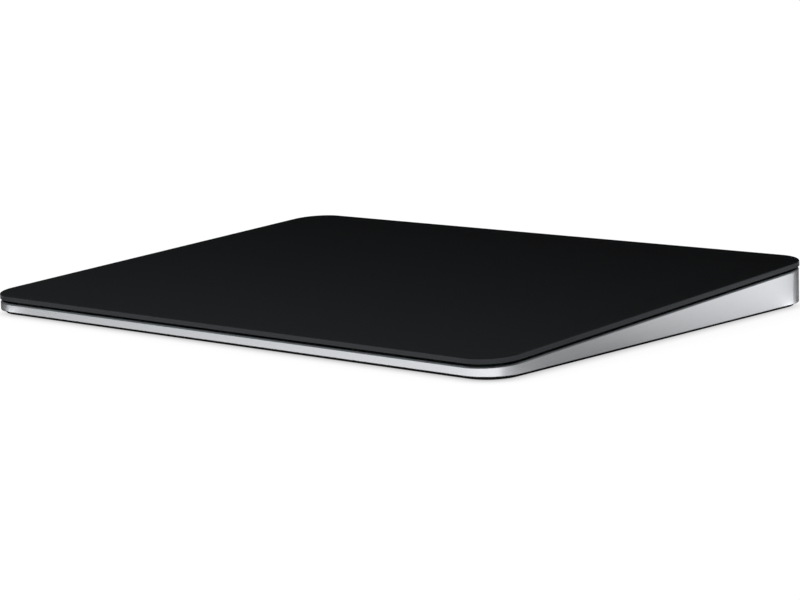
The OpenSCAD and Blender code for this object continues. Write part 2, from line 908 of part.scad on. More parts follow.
// Gold contacts on both faces of the tongue
module socket_contacts() {
    contact_w = 0.26;
    contact_l = 3.4;
    contact_t = 0.05;
    start = socket_end + socket_wall + tongue_root;
    first = -(contact_count - 1) / 2 * contact_pitch;
    color([0.83, 0.66, 0.3]) for (step = [0:contact_count - 1], face = [-1, 1]) {
        translate([first + step * contact_pitch, start + contact_l / 2, socket_z]) {
            mirror([0, 0, face < 0 ? 1 : 0]) {
                block(contact_w, contact_l, tongue_t / 2, tongue_t / 2 + contact_t);
            }
        }
    }
}

// Rubber gasket round the socket, against the back wall
module socket_gasket() {
    rim = 1.2;
    gap = 0.08;
    inner_face = pocket_y - 0.85;
    color([0.08, 0.08, 0.08]) translate([0, 0, socket_z]) difference() {
        obround_y(socket_w + 2 * rim, socket_h + 2 * rim, inner_face, pocket_y);
        obround_y(socket_w + 2 * gap, socket_h + 2 * gap, inner_face - past, pocket_y + past);
    }
}

// Steel saddle that holds the socket down on the board
module socket_saddle() {
    depth = 3;
    foot_end = saddle_foot_x + 1.5;
    inner = socket_w / 2 + 0.15;
    top = board_top + socket_h + 0.05;
    hole_r = 0.65;
    color([0.66, 0.66, 0.68]) translate([0, saddle_y, 0]) difference() {
        union() {
            block(2 * (inner + saddle_t), depth, board_top, top + saddle_t);
            block(2 * foot_end, depth, board_top, board_top + saddle_t);
        }
        block(2 * inner, depth + 2 * past, board_top - past, top);
        for (side = [-1, 1]) {
            translate([side * saddle_foot_x, 0, board_top - past]) {
                cylinder(r = hole_r, h = saddle_t + 2 * past);
            }
        }
    }
}

// Short screws of the saddle, which stop at the board's face
module saddle_screws() {
    shank_r = 0.6;
    head_r = 1.05;
    head_h = 0.35;
    key_r = 0.45;
    color([0.3, 0.3, 0.32]) for (side = [-1, 1]) {
        translate([side * saddle_foot_x, saddle_y, board_top + saddle_t]) {
            small_screw(shank_r, saddle_t, head_r, head_h, key_r);
        }
    }
}

// Knob of the power switch, shown at off, with its stem
module switch_knob() {
    chamfer = 0.15;
    color([0.77, 0.78, 0.8]) translate([off_x, 0, socket_z]) {
        obround_y(knob_l, knob_h, knob_in, knob_out, chamfer);
        translate([-stem_w / 2, stem_in, -stem_h / 2]) cube([stem_w, knob_in - stem_in, stem_h]);
    }
}

// Contact slider on the inner end of the knob's stem
module switch_slider() {
    slider_w = 2.6;
    slider_d = 1.2;
    slider_h = 1.6;
    color([0.85, 0.82, 0.72]) translate([off_x - slider_w / 2, stem_in - slider_d, socket_z - slider_h / 2]) {
        cube([slider_w, slider_d, slider_h]);
    }
}

// Room that the knob's stem sweeps, between two depths
module stem_passage(y0, y1) {
    translate([switch_x - stem_slot_l / 2, y0, socket_z - stem_slot_h / 2]) {
        cube([stem_slot_l, y1 - y0, stem_slot_h]);
    }
}

// Case of the slide switch, soldered to the logic board
module switch_case() {
    case_w = 10;
    case_d = 3.6;
    case_wall = 0.6;
    case_front = board_back - 4;
    case_back = case_front + case_d;
    case_h = 2 * (socket_z - board_top);
    room_w = switch_travel + 3.4;
    room_d = case_d - 2 * case_wall;
    room_h = 2.2;
    color([0.12, 0.12, 0.13]) difference() {
        translate([switch_x - case_w / 2, case_front, board_top]) cube([case_w, case_d, case_h]);
        translate([switch_x - room_w / 2, case_front + case_wall, socket_z - room_h / 2]) {
            cube([room_w, room_d, room_h]);
        }
        stem_passage(case_back - past, case_back + past);
    }
}

// Backing plate behind the knob, with a slot for the stem
module switch_backing() {
    color([0.1, 0.1, 0.1]) difference() {
        translate([switch_x, 0, socket_z]) {
            obround_y(backing_l, backing_h, backing_out - backing_t, backing_out);
        }
        stem_passage(backing_out - backing_t - past, backing_out + past);
    }
}

// Green film on the backing, seen only when the knob is at on
module switch_on_marker() {
    film_t = 0.05;
    film_l = slot_l + 0.6;
    film_h = slot_h + 0.4;
    film_end = -1;
    color([0.15, 0.75, 0.25]) difference() {
        translate([switch_x, 0, socket_z]) difference() {
            obround_y(film_l, film_h, backing_out, backing_out + film_t);
            translate([film_end, backing_out - past, -film_h]) cube([film_l, film_t + 2 * past, 2 * film_h]);
        }
        stem_passage(backing_out - past, backing_out + past);
    }
}

// Foam gasket between the backing plate and the back wall
module switch_gasket() {
    opening_l = slot_l + 1;
    opening_h = slot_h + 0.6;
    color([0.08, 0.08, 0.08]) translate([switch_x, 0, socket_z]) difference() {
        obround_y(backing_l, backing_h, backing_out, backing_out + gasket_t);
        obround_y(opening_l, opening_h, backing_out - past, backing_out + gasket_t + past);
    }
}

glass_plate();
ink_film();
touch_sensor_board();
sensor_chips();
sensor_plug();
stiffener_plate();
haptic_armature();
gel_pads();
force_beams();
strain_gauges();
beam_screws();
housing_tub();
base_tape();
base_plate();
rubber_feet();
haptic_tray();
haptic_cores();
haptic_coils();
haptic_screws();
battery_cell();
battery_tapes();
battery_guard_board();
battery_lead();
logic_board();
board_screws();
board_plugs();
main_processor();
radio_chip();
shield_cans();
charger_chip();
charger_inductor();
small_components();
antenna();
touch_ribbon();
socket_shell();
socket_tongue();
socket_contacts();
socket_gasket();
socket_saddle();
saddle_screws();
switch_knob();
switch_slider();
switch_case();
switch_backing();
switch_on_marker();
switch_gasket();
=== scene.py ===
import json
import math

import bpy
from mathutils import Matrix, Vector


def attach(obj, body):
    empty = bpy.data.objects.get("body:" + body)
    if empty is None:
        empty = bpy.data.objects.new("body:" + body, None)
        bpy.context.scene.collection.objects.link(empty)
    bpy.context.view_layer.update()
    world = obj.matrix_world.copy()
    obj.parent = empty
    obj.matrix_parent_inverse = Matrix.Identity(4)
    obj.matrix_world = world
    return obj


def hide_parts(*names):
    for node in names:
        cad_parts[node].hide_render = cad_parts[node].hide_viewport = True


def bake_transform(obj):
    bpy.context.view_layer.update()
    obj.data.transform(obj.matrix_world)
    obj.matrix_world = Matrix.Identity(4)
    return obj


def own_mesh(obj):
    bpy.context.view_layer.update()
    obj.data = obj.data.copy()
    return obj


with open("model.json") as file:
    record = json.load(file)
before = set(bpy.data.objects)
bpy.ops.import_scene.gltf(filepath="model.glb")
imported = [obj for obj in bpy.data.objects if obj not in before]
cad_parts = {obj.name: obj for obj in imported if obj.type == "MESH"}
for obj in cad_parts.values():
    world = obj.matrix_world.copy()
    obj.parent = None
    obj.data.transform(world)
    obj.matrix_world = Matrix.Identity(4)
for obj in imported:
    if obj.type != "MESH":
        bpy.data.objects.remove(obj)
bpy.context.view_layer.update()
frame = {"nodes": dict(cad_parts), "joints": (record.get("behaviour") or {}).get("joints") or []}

# Camera: a long lens, low over the desk, off the near right corner of the trackpad.
# Its bearing, height, roll and distance were solved from the edges in the photograph.
MM = 0.001
UPWARD = Vector((0, 0, 1))
AZIMUTH = math.radians(42.416)
ELEVATION = math.radians(9.346)
ROLL = math.radians(-1.789)
DISTANCE = 593.06 * MM
AIM_RIGHT = 2.022 * MM
AIM_UP = -3.17 * MM
AIM_HEIGHT = 5.3 * MM
FOCAL_LENGTH, SENSOR_WIDTH = 112.98, 36
NEAREST = 10 * MM

back = Vector((
    math.sin(AZIMUTH) * math.cos(ELEVATION),
    -math.cos(AZIMUTH) * math.cos(ELEVATION),
    math.sin(ELEVATION),
))
level_right = UPWARD.cross(back).normalized()
level_up = back.cross(level_right)
right = math.cos(ROLL) * level_right + math.sin(ROLL) * level_up
up = math.cos(ROLL) * level_up - math.sin(ROLL) * level_right
eye = AIM_HEIGHT * UPWARD + AIM_RIGHT * right + AIM_UP * up + DISTANCE * back

lens = bpy.data.cameras.new("camera")
lens.sensor_width = SENSOR_WIDTH
lens.lens = FOCAL_LENGTH
lens.clip_start = NEAREST
camera = bpy.data.objects.new("camera", lens)
camera.matrix_world = Matrix((right, up, back)).transposed().to_4x4()
camera.location = eye
bpy.context.scene.collection.objects.link(camera)
bpy.context.scene.camera = camera
bpy.context.scene.view_settings.view_transform = "Standard"


# Studio table: white paper under an even white sky, as in a catalogue picture.
# The lens, and what metal and glass reflect, see both at plain white; the paper keeps some of the real
# shadow, and a painted shadow round the trackpad.
def linear(hex_colour):
    """The linear colour of an sRGB hex value."""
    parts = [int(hex_colour[i:i + 2], 16) / 255 for i in (1, 3, 5)]
    return [p / 12.92 if p <= 0.04045 else ((p + 0.055) / 1.055) ** 2.4 for p in parts] + [1.0]


def add(tree, kind, inputs=None, **settings):
    """Add a node: settings are its properties, and inputs are values or sockets to link."""
    node = tree.nodes.new(kind)
    for name, value in settings.items():
        setattr(node, name, value)
    for name, value in (inputs or {}).items():
        if isinstance(value, bpy.types.NodeSocket):
            tree.links.new(value, node.inputs[name])
        else:
            node.inputs[name].default_value = value
    return node


def seen_directly(tree):
    """1 on rays from the lens or from metal and glass, 0 on the rest."""
    path = add(tree, "ShaderNodeLightPath").outputs
    seen = path["Is Camera Ray"]
    for kind in ("Is Glossy Ray", "Is Transmission Ray"):
        seen = add(tree, "ShaderNodeMath", {0: seen, 1: path[kind]}, operation="MAXIMUM").outputs[0]
    return seen


SKY_LIGHT, SKY_SEEN = 1.05, 1.0
world = bpy.data.worlds.new("studio_sky")
world.use_nodes = True
bpy.context.scene.world = world
tree = world.node_tree
tree.nodes.clear()
strength = add(tree, "ShaderNodeMapRange", {
    "Value": seen_directly(tree), "To Min": SKY_LIGHT, "To Max": SKY_SEEN,
})
sky = add(tree, "ShaderNodeBackground", {
    "Color": linear("#ffffff"), "Strength": strength.outputs["Result"],
})
add(tree, "ShaderNodeOutputWorld", {"Surface": sky.outputs[0]})


def material(name):
    """A new material, its node tree, its shader, and the place on the object that patterns follow."""
    made = bpy.data.materials.new(name)
    made.use_nodes = True
    tree = made.node_tree
    place = add(tree, "ShaderNodeTexCoord").outputs["Object"]
    return made, tree, tree.nodes["Principled BSDF"], place


SHARP_FROM = math.radians(35)


def solid(name, points, faces, *materials):
    """A mesh object from points and faces, with its materials; only its sharp edges show as edges."""
    mesh = bpy.data.meshes.new(name)
    mesh.from_pydata(points, [], faces)
    mesh.shade_smooth()
    mesh.set_sharp_from_angle(angle=SHARP_FROM)
    for finish in materials:
        mesh.materials.append(finish)
    made = bpy.data.objects.new(name, mesh)
    bpy.context.scene.collection.objects.link(made)
    return made


# The paper is lifted to white by a glow that grows outward from just under the base plate's rim, so the
# glow's mask paints the trackpad's contact shadow on the paper.
# Inside that line there is no glow, so the painted shadow where the trackpad stands stays black.
PLATE_WIDTH, PLATE_DEPTH, PLATE_CORNER = 160.0, 114.9, 8.4
BASE_INSET = 1.3
LIFT_LEVEL, LIFT_POWER = 0.86, 0.2
LIFT_FROM, LIFT_REACH = -1.6, 5.0
TABLE_HALF = 6.0
paper, tree, shader, place = material("white_paper_with_painted_shadow")
shader.inputs["Base Color"].default_value = linear("#6c6c6c")
shader.inputs["Roughness"].default_value = 0.9
shader.inputs["Specular IOR Level"].default_value = 0.0
shader.inputs["Emission Color"].default_value = linear("#ffffff")
core = [(size / 2 - PLATE_CORNER) * MM for size in (PLATE_WIDTH, PLATE_DEPTH)] + [0]
apart = add(tree, "ShaderNodeVectorMath", {0: place}, operation="ABSOLUTE")
apart = add(tree, "ShaderNodeVectorMath", {0: apart.outputs[0], 1: core}, operation="SUBTRACT")
apart = add(tree, "ShaderNodeVectorMath", {0: apart.outputs[0], 1: (0, 0, 0)}, operation="MAXIMUM")
apart = add(tree, "ShaderNodeVectorMath", {0: apart.outputs[0]}, operation="LENGTH")
# The glow fades in over LIFT_REACH from this edge, which paints a contact shadow round the base plate.
painted_shadow_edge = PLATE_CORNER - BASE_INSET + LIFT_FROM
painted_shadow_fade = add(tree, "ShaderNodeMapRange", {
    "Value": apart.outputs["Value"],
    "From Min": painted_shadow_edge * MM,
    "From Max": (painted_shadow_edge + LIFT_REACH) * MM,
})
lift = add(tree, "ShaderNodeMath", {0: painted_shadow_fade.outputs["Result"], 1: LIFT_POWER}, operation="POWER")
lift = add(tree, "ShaderNodeMath", {0: lift.outputs[0], 1: LIFT_LEVEL}, operation="MULTIPLY")
lift = add(tree, "ShaderNodeMath", {0: lift.outputs[0], 1: seen_directly(tree)}, operation="MULTIPLY")
tree.links.new(lift.outputs[0], shader.inputs["Emission Strength"])
SQUARE = ((-1, -1), (1, -1), (1, 1), (-1, 1))
table = solid("table", [(x * TABLE_HALF, y * TABLE_HALF, 0) for x, y in SQUARE], [range(4)], paper)


# Studio flags: black cloth hung round the table, which keeps the glass black, and cards lying on it.
# Only metal and glass see them. The cloth has a low slot on the lens's side and a pale scrim overhead.
FLAG_TINT = "#e6eef3"


def flag(name, points, faces, toward, span, levels, tint="#ffffff"):
    """A flag whose brightness goes from one level to another, over a span along a direction."""
    made = bpy.data.materials.new(name)
    made.use_nodes = True
    tree = made.node_tree
    tree.nodes.clear()
    place = add(tree, "ShaderNodeTexCoord").outputs["Object"]
    along = add(tree, "ShaderNodeVectorMath", {0: place, 1: toward}, operation="DOT_PRODUCT")
    level = add(tree, "ShaderNodeMapRange", {
        "Value": along.outputs["Value"],
        "From Min": span[0],
        "From Max": span[1],
        "To Min": levels[0],
        "To Max": levels[1],
    })
    glow = add(tree, "ShaderNodeEmission", {"Color": linear(tint), "Strength": level.outputs["Result"]})
    add(tree, "ShaderNodeOutputMaterial", {"Surface": glow.outputs[0]})
    hung = solid(name, points, faces, made)
    hung.visible_camera = False
    hung.visible_diffuse = False
    hung.visible_transmission = False
    hung.visible_shadow = False


# The cloth grows paler upward and to the lens's left.
CLOTH_RADIUS = 900 * MM
CLOTH_RISES = [0.5, 5] + list(range(10, 76, 5))
CLOTH_TURNS = 72
SLOT_FROM, SLOT_TO = -10, 80
PALER_UPWARD, PALER_LEFTWARD = 9.6, 2
CLOTH_SPAN = [reach * CLOTH_RADIUS for reach in (2.56, 3.16)]
CLOTH_LEVELS = (0.0, 0.116)
SCRIM_SPAN = (-250 * MM, 250 * MM)
SCRIM_LEVELS = (0.2, 0.35)
points = []
for rise in (math.radians(degrees) for degrees in CLOTH_RISES):
    for turn in range(CLOTH_TURNS):
        bearing = 2 * math.pi * turn / CLOTH_TURNS
        points.append((
            CLOTH_RADIUS * math.sin(bearing) * math.cos(rise),
            -CLOTH_RADIUS * math.cos(bearing) * math.cos(rise),
            CLOTH_RADIUS * math.sin(rise),
        ))
faces = []
for row in range(len(CLOTH_RISES) - 1):
    for turn in range(CLOTH_TURNS):
        bearing = (turn + 0.5) * 360 / CLOTH_TURNS
        if row == 0 and (bearing - SLOT_FROM) % 360 < SLOT_TO - SLOT_FROM:
            continue
        low, following = row * CLOTH_TURNS, (turn + 1) % CLOTH_TURNS
        high = low + CLOTH_TURNS
        faces.append((low + turn, low + following, high + following, high + turn))
paler = PALER_UPWARD * UPWARD - PALER_LEFTWARD * level_right
flag("black_cloth", points, faces, paler, CLOTH_SPAN, CLOTH_LEVELS, FLAG_TINT)
top_ring = points[-CLOTH_TURNS:]
flag("overhead_scrim", top_ring, [range(CLOTH_TURNS)], (0, 1, 0), SCRIM_SPAN, SCRIM_LEVELS, FLAG_TINT)

# Two grey panels hang inside the cloth, where the chamfers of the tub's rim look.
PANEL_AWAY, PANEL_HALF = 850 * MM, 400 * MM
PANELS = {
    "front_rim_panel": (Vector((-0.665, -0.161, 0.727)), 0.27),
    "side_rim_panel": (Vector((0.162, 0.728, 0.665)), 0.3),
}
for name, (toward, level) in PANELS.items():
    middle = toward.normalized() * PANEL_AWAY
    across = toward.cross(UPWARD).normalized() * PANEL_HALF
    rise = across.cross(toward).normalized() * PANEL_HALF
    corners = [middle + x * across + y * rise for x, y in SQUARE]
    flag(name, corners, [range(4)], UPWARD, (0, 1), (level, level), FLAG_TINT)


LEAST_RADIUS = 0.01


def outline(width, depth, radius, inset=0.0, steps=12):
    """Points of a round-cornered outline about the origin, drawn in by an inset."""
    reach = max(radius - inset, LEAST_RADIUS)
    corners = ((1, 1), (-1, 1), (-1, -1), (1, -1))
    made = []
    for quarter, (side, end) in enumerate(corners):
        for step in range(steps + 1):
            angle = (quarter + step / steps) * math.pi / 2
            made.append((
                side * (width / 2 - radius) + reach * math.cos(angle),
                end * (depth / 2 - radius) + reach * math.sin(angle),
            ))
    return made


# Cards lie on the table, each on the ones before it. A row has a card's corners in millimetres,
# the direction in which it brightens, where that starts and ends, and the two levels.
CARD_RISE, CARD_STEP = 0.1, 0.02
CARDS = {
    "right_card": (
        ((80, -50), (900, -350), (900, 300), (80, 300)),
        (0, 1, 0), (-15, 80), (0.33, 1.25),
    ),
    "corner_fade_card": (
        ((80, -54), (900, -354), (900, -38), (80, -38)),
        (0, -1, 0), (38, 56), (0.33, 0.75),
    ),
    "corner_card": (
        ((60, -57), (60, -500), (900, -500), (900, -354), (80, -54)),
        (1, 0, 0), (60, 85), (1.08, 1.34),
    ),
    "front_card": (
        ((-700, -500), (60, -500), (60, -57), (-700, -57)),
        (1, 0, 0), (-120, 60), (0.6, 1.08),
    ),
    "left_bright_card": (
        ((-72.5, -57), (-68.5, -57), (-88, -73), (-92, -73)),
        (1, 0, 0), (-92, -68), (1.8, 1.8),
    ),
    "right_bright_card": (
        ((80, 46), (80, 53), (118, 110), (125, 108)),
        (0, 1, 0), (46, 110), (1.9, 1.9),
    ),
    "left_dark_card": (
        ((-72.5, -57), (-82.2, -65.5), (-82.2, -51), (-79, -51)),
        (0, 1, 0), (-64, -51), (0.12, 0.12),
    ),
    "right_dark_card": (
        ((79, 50), (86.7, 59.7), (73, 59.7), (73, 57)),
        (0, 1, 0), (50, 60), (0.12, 0.12),
    ),
    # A near-black card under the whole trackpad, a little past its outline, is painted shade that the metal's
    # lower edges and the base plate reflect.
    "shade_card": (
        outline(160.6, 115.5, 8.8),
        (0, 1, 0), (-60, 60), (0.01, 0.01),
    ),
}
for order, (name, (corners, toward, span, levels)) in enumerate(CARDS.items()):
    height = (CARD_RISE + order * CARD_STEP) * MM
    points = [(x * MM, y * MM, height) for x, y in corners]
    flag(name, points, [range(len(points))], toward, [value * MM for value in span], levels)

# Two small black flags stand close to the outer corners, and give the metal's ends their dark outline.
END_FLAG_FOOT, END_FLAG_LEVEL = 0.2, 0.12
END_FLAGS = {
    "left_end_flag": ((-82.2, -65.5), (-82.2, -51), 3.2),
    "right_end_flag": ((73, 59.7), (86.7, 59.7), 9.2),
}
for name, (start, end, height) in END_FLAGS.items():
    corners = ((*start, END_FLAG_FOOT), (*end, END_FLAG_FOOT), (*end, height), (*start, height))
    points = [[value * MM for value in corner] for corner in corners]
    flag(name, points, [range(4)], UPWARD, (0, 1), (END_FLAG_LEVEL, END_FLAG_LEVEL))


# Housing tub: the wedge-shaped body, milled from one block of aluminium.
# Bead blasted and clear anodised, which gives a pale, fine-grained satin metal.
def per(size):
    """Texture scale of a pattern with one feature every so many millimetres."""
    return 1 / (size * MM)


EDGE_SAMPLES = 6


def surface(tree, shader, pattern, tones, rough, relief=0.0, edge=0.0):
    """Let a pattern from 0 to 1 sway colour, roughness and relief; an edge radius softens sharp corners."""
    colour = add(tree, "ShaderNodeMix", {
        0: pattern, 6: linear(tones[0]), 7: linear(tones[1]),
    }, data_type="RGBA")
    tree.links.new(colour.outputs[2], shader.inputs["Base Color"])
    sheen = add(tree, "ShaderNodeMapRange", {"Value": pattern, "To Min": rough[0], "To Max": rough[1]})
    tree.links.new(sheen.outputs["Result"], shader.inputs["Roughness"])
    bump = add(tree, "ShaderNodeBump", {"Height": pattern, "Distance": relief * MM})
    if edge:
        soft = add(tree, "ShaderNodeBevel", {"Radius": edge * MM}, samples=EDGE_SAMPLES)
        tree.links.new(soft.outputs["Normal"], bump.inputs["Normal"])
    tree.links.new(bump.outputs["Normal"], shader.inputs["Normal"])


def dress(made, *names):
    """Give CAD nodes a material."""
    for name in names:
        frame["nodes"][name].data.materials.clear()
        frame["nodes"][name].data.materials.append(made)


# The real grit is about 0.05 mm; it is drawn coarser so that it shows.
GRIT = 0.25
blasted_aluminium, tree, shader, place = material("blasted_anodised_aluminium")
grit = add(tree, "ShaderNodeTexNoise", {"Vector": place, "Scale": per(GRIT), "Detail": 3.0})
surface(tree, shader, grit.outputs["Fac"], tones=("#dcdee1", "#e8eaed"),
        rough=(0.36, 0.46), relief=0.003, edge=0.08)
shader.inputs["Metallic"].default_value = 1.0
dress(blasted_aluminium, "housing_tub")

# Force beams: four bending beams of hardened spring steel, screwed up through the tub's floor.
# Cold rolled, so fine lines run along them, with a faint straw tint from tempering.
BEAM_LINE_LENGTH, BEAM_LINE = 9, 0.12
spring_steel, tree, shader, place = material("tempered_spring_steel")
rolled = add(tree, "ShaderNodeMapping", {
    "Vector": place, "Scale": (per(BEAM_LINE_LENGTH), per(BEAM_LINE), per(BEAM_LINE)),
})
lines = add(tree, "ShaderNodeTexNoise", {"Vector": rolled.outputs[0], "Scale": 1.0, "Detail": 3.0})
surface(tree, shader, lines.outputs["Fac"], tones=("#b5b0a4", "#d0cfca"),
        rough=(0.24, 0.4), relief=0.003, edge=0.05)
shader.inputs["Metallic"].default_value = 1.0
dress(spring_steel, "force_beams")

# Strain gauges: a metal grid printed on amber polyimide film, glued to each beam's neck.
# The grid's fine bars show as dull stripes through the film.
GAUGE_BAR = 0.5
# A wave of scale 1 repeats over this length.
WAVE_REPEAT = math.pi / 10
gauge_film, tree, shader, place = material("polyimide_gauge_film")
bars = add(tree, "ShaderNodeTexWave", {
    "Vector": place, "Scale": per(GAUGE_BAR) * WAVE_REPEAT,
}, wave_type="BANDS", bands_direction="Y")
surface(tree, shader, bars.outputs["Fac"], tones=("#a9641d", "#7d5a33"), rough=(0.25, 0.4), relief=0.004)
dress(gauge_film, "strain_gauges")

# Screws of the beams, haptic tray, logic board and socket saddle: turned steel with a black oxide finish.
# The oxide is thin, so it is uneven and lets some metal through.
OXIDE_BLOTCH = 0.5
black_oxide, tree, shader, place = material("black_oxide_steel")
blotch = add(tree, "ShaderNodeTexNoise", {"Vector": place, "Scale": per(OXIDE_BLOTCH), "Detail": 4.0})
surface(tree, shader, blotch.outputs["Fac"], tones=("#2a2a2d", "#5a5a5e"),
        rough=(0.3, 0.5), relief=0.004, edge=0.05)
shader.inputs["Metallic"].default_value = 1.0
dress(black_oxide, "beam_screws", "haptic_screws", "board_screws", "saddle_screws")

# Steel pressings: the haptic tray, the socket's saddle and the touch plate's stiffener.
# Blanked from cold rolled sheet with a clear zinc finish, so broad rolling lines under a soft shine.
SHEET_LINE_LENGTH, SHEET_LINE = 14, 0.3
sheet_steel, tree, shader, place = material("zinc_plated_sheet_steel")
rolled = add(tree, "ShaderNodeMapping", {
    "Vector": place, "Scale": (per(SHEET_LINE_LENGTH), per(SHEET_LINE), per(SHEET_LINE)),
})
lines = add(tree, "ShaderNodeTexNoise", {"Vector": rolled.outputs[0], "Scale": 1.0, "Detail": 4.0})
surface(tree, shader, lines.outputs["Fac"], tones=("#a8abad", "#c6c8ca"),
        rough=(0.28, 0.45), relief=0.004, edge=0.06)
shader.inputs["Metallic"].default_value = 1.0
dress(sheet_steel, "haptic_tray", "socket_saddle", "stiffener_plate")

# Haptic cores and armature: stacks of thin silicon iron sheets, pressed and varnished together.
# The sheets' edges show as fine level lines on every side face.
LAMINATION = 0.35
core_iron, tree, shader, place = material("laminated_silicon_iron")
sheets = add(tree, "ShaderNodeTexWave", {
    "Vector": place, "Scale": per(LAMINATION) * WAVE_REPEAT, "Distortion": 0.4, "Detail": 1.0,
}, wave_type="BANDS", bands_direction="Z", wave_profile="SAW")
surface(tree, shader, sheets.outputs["Fac"], tones=("#4a4b4e", "#77797c"), rough=(0.4, 0.6), relief=0.01)
shader.inputs["Metallic"].default_value = 1.0
dress(core_iron, "haptic_cores", "haptic_armature")


# Haptic coils: enamelled copper wire wound in a flat stack on the middle leg of each core.
# Each turn lies in its own groove; the lacquer gives the copper a warm gloss.
def wrap(rings, closed=False):
    """Points and faces of a skin over rings of points in millimetres, capped unless it closes on itself."""
    size = len(rings[0])
    points = [tuple(value * MM for value in point) for ring in rings for point in ring]
    spans = len(rings) if closed else len(rings) - 1
    faces = []
    for span in range(spans):
        low, high = span * size, (span + 1) % len(rings) * size
        faces += [(low + i, low + (i + 1) % size, high + (i + 1) % size, high + i) for i in range(size)]
    if not closed:
        faces.append(tuple(reversed(range(size))))
        faces.append(tuple(range((len(rings) - 1) * size, len(rings) * size)))
    return points, faces


def join(parts):
    """Points and faces of several skins as one."""
    points, faces = [], []
    for more_points, more_faces in parts:
        faces += [tuple(i + len(points) for i in face) for face in more_faces]
        points += more_points
    return points, faces


# The coils lie parallel to the glass, which slopes as the axis along which it is pressed does.
# The tilt carries pieces laid out flat, with levels counted from the top of the glass.
FRONT_HEIGHT, BACK_HEIGHT = 4.8, 10.9
press = next(joint for joint in frame["joints"] if joint["name"] == "plate_press")
slope = math.atan2(press["axis"][1], -press["axis"][2])
mid_height = (FRONT_HEIGHT + BACK_HEIGHT) / 2
tilt = Matrix.Translation((0, 0, mid_height * MM)) @ Matrix.Rotation(slope, 4, "X")

COIL_START, COIL_LENGTH = 7.0, 10.2
COIL_Y, COIL_LEVEL = -25.0, -3.5
COIL_OUTER, COIL_OUTER_ROUND = (11.4, 1.1), 0.5
COIL_INNER, COIL_INNER_ROUND = (5.2, 0.6), 0.1
COIL_TURNS, TURN_STEPS, COIL_CORNER_STEPS = 34, 6, 4
WIRE_SWELL = 0.06


def coil_ring(side, along, size, radius, groove=0.0):
    """One ring of a coil's skin, at a place from 0 to 1 along it."""
    x = side * (COIL_START + COIL_LENGTH * along)
    ring = outline(*size, radius, groove, COIL_CORNER_STEPS)
    return [(x, COIL_Y + side * y, COIL_LEVEL + z) for y, z in ring]


coils = []
for side in (-1, 1):
    rings = []
    for step in range(COIL_TURNS * TURN_STEPS + 1):
        along = step / (COIL_TURNS * TURN_STEPS)
        groove = WIRE_SWELL * (1 - abs(math.sin(math.pi * COIL_TURNS * along)))
        rings.append(coil_ring(side, along, COIL_OUTER, COIL_OUTER_ROUND, groove))
    for along in (1, 0):
        rings.append(coil_ring(side, along, COIL_INNER, COIL_INNER_ROUND))
    coils.append(wrap(rings, closed=True))
ENAMEL_MOTTLE = 0.6
enamelled_copper, tree, shader, place = material("enamelled_copper_wire")
mottle = add(tree, "ShaderNodeTexNoise", {"Vector": place, "Scale": per(ENAMEL_MOTTLE), "Detail": 3.0})
surface(tree, shader, mottle.outputs["Fac"], tones=("#96471d", "#c5743a"), rough=(0.22, 0.36), relief=0.002)
shader.inputs["Metallic"].default_value = 1.0
shader.inputs["Coat Weight"].default_value = 0.4
windings = solid("coil_windings", *join(coils), enamelled_copper)
windings.data.transform(tilt)
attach(windings, "base")
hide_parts("haptic_coils")

# Battery cell: a flat lithium pouch, heat sealed from aluminium foil laminated with nylon.
# The foil is dull silver, with the soft dimples of a vacuum-packed sleeve.
FOIL_DIMPLE = 3.2
pouch_foil, tree, shader, place = material("nylon_laminated_foil")
dimples = add(tree, "ShaderNodeTexVoronoi", {"Vector": place, "Scale": per(FOIL_DIMPLE)}, feature="SMOOTH_F1")
surface(tree, shader, dimples.outputs["Distance"], tones=("#84878b", "#a4a7ab"),
        rough=(0.3, 0.5), relief=0.05)
shader.inputs["Metallic"].default_value = 0.9
dress(pouch_foil, "battery_cell")

# Battery tapes: two stretch-release strips of white adhesive under the cell.
# Rolled from a fibrous carrier, matt, with faint lengthways streaks.
STREAK_LENGTH, STREAK = 5, 0.25
stretch_tape, tree, shader, place = material("stretch_release_tape")
drawn = add(tree, "ShaderNodeMapping", {
    "Vector": place, "Scale": (per(STREAK_LENGTH), per(STREAK), per(STREAK)),
})
streaks = add(tree, "ShaderNodeTexNoise", {"Vector": drawn.outputs[0], "Scale": 1.0, "Detail": 3.0})
surface(tree, shader, streaks.outputs["Fac"], tones=("#d2d1cc", "#ecebe6"), rough=(0.6, 0.8), relief=0.01)
dress(stretch_tape, "battery_tapes")

# Circuit boards: the cell's protection board, the logic board and the touch sensor board.
# Glass fibre laminate under green solder mask, with tracks and tinned vias under the gloss.
TRACK_LENGTH, TRACK_PITCH, TRACK_WIDTH = 2.6, 0.55, 0.14
# A via's radius is a share of the pitch.
VIA_PITCH, VIA_SHARE = 1.9, 0.09
solder_mask, tree, shader, place = material("solder_masked_fibreglass")
tracks = add(tree, "ShaderNodeTexBrick", {
    "Vector": place,
    "Scale": 1.0,
    "Mortar Size": TRACK_WIDTH * MM,
    "Brick Width": TRACK_LENGTH * MM,
    "Row Height": TRACK_PITCH * MM,
})
surface(tree, shader, tracks.outputs["Fac"], tones=("#0d3b26", "#1d5c3c"), rough=(0.22, 0.3), relief=0.03)
vias = add(tree, "ShaderNodeTexVoronoi", {"Vector": place, "Scale": per(VIA_PITCH)}, voronoi_dimensions="2D")
inside = add(tree, "ShaderNodeMath", {0: vias.outputs["Distance"], 1: VIA_SHARE}, operation="LESS_THAN")
mask = shader.inputs["Base Color"].links[0].from_socket
tinned = add(tree, "ShaderNodeMix", {0: inside.outputs[0], 6: mask, 7: linear("#b9bab2")}, data_type="RGBA")
tree.links.new(tinned.outputs[2], shader.inputs["Base Color"])
tree.links.new(inside.outputs[0], shader.inputs["Metallic"])
dress(solder_mask, "battery_guard_board", "logic_board", "touch_sensor_board")

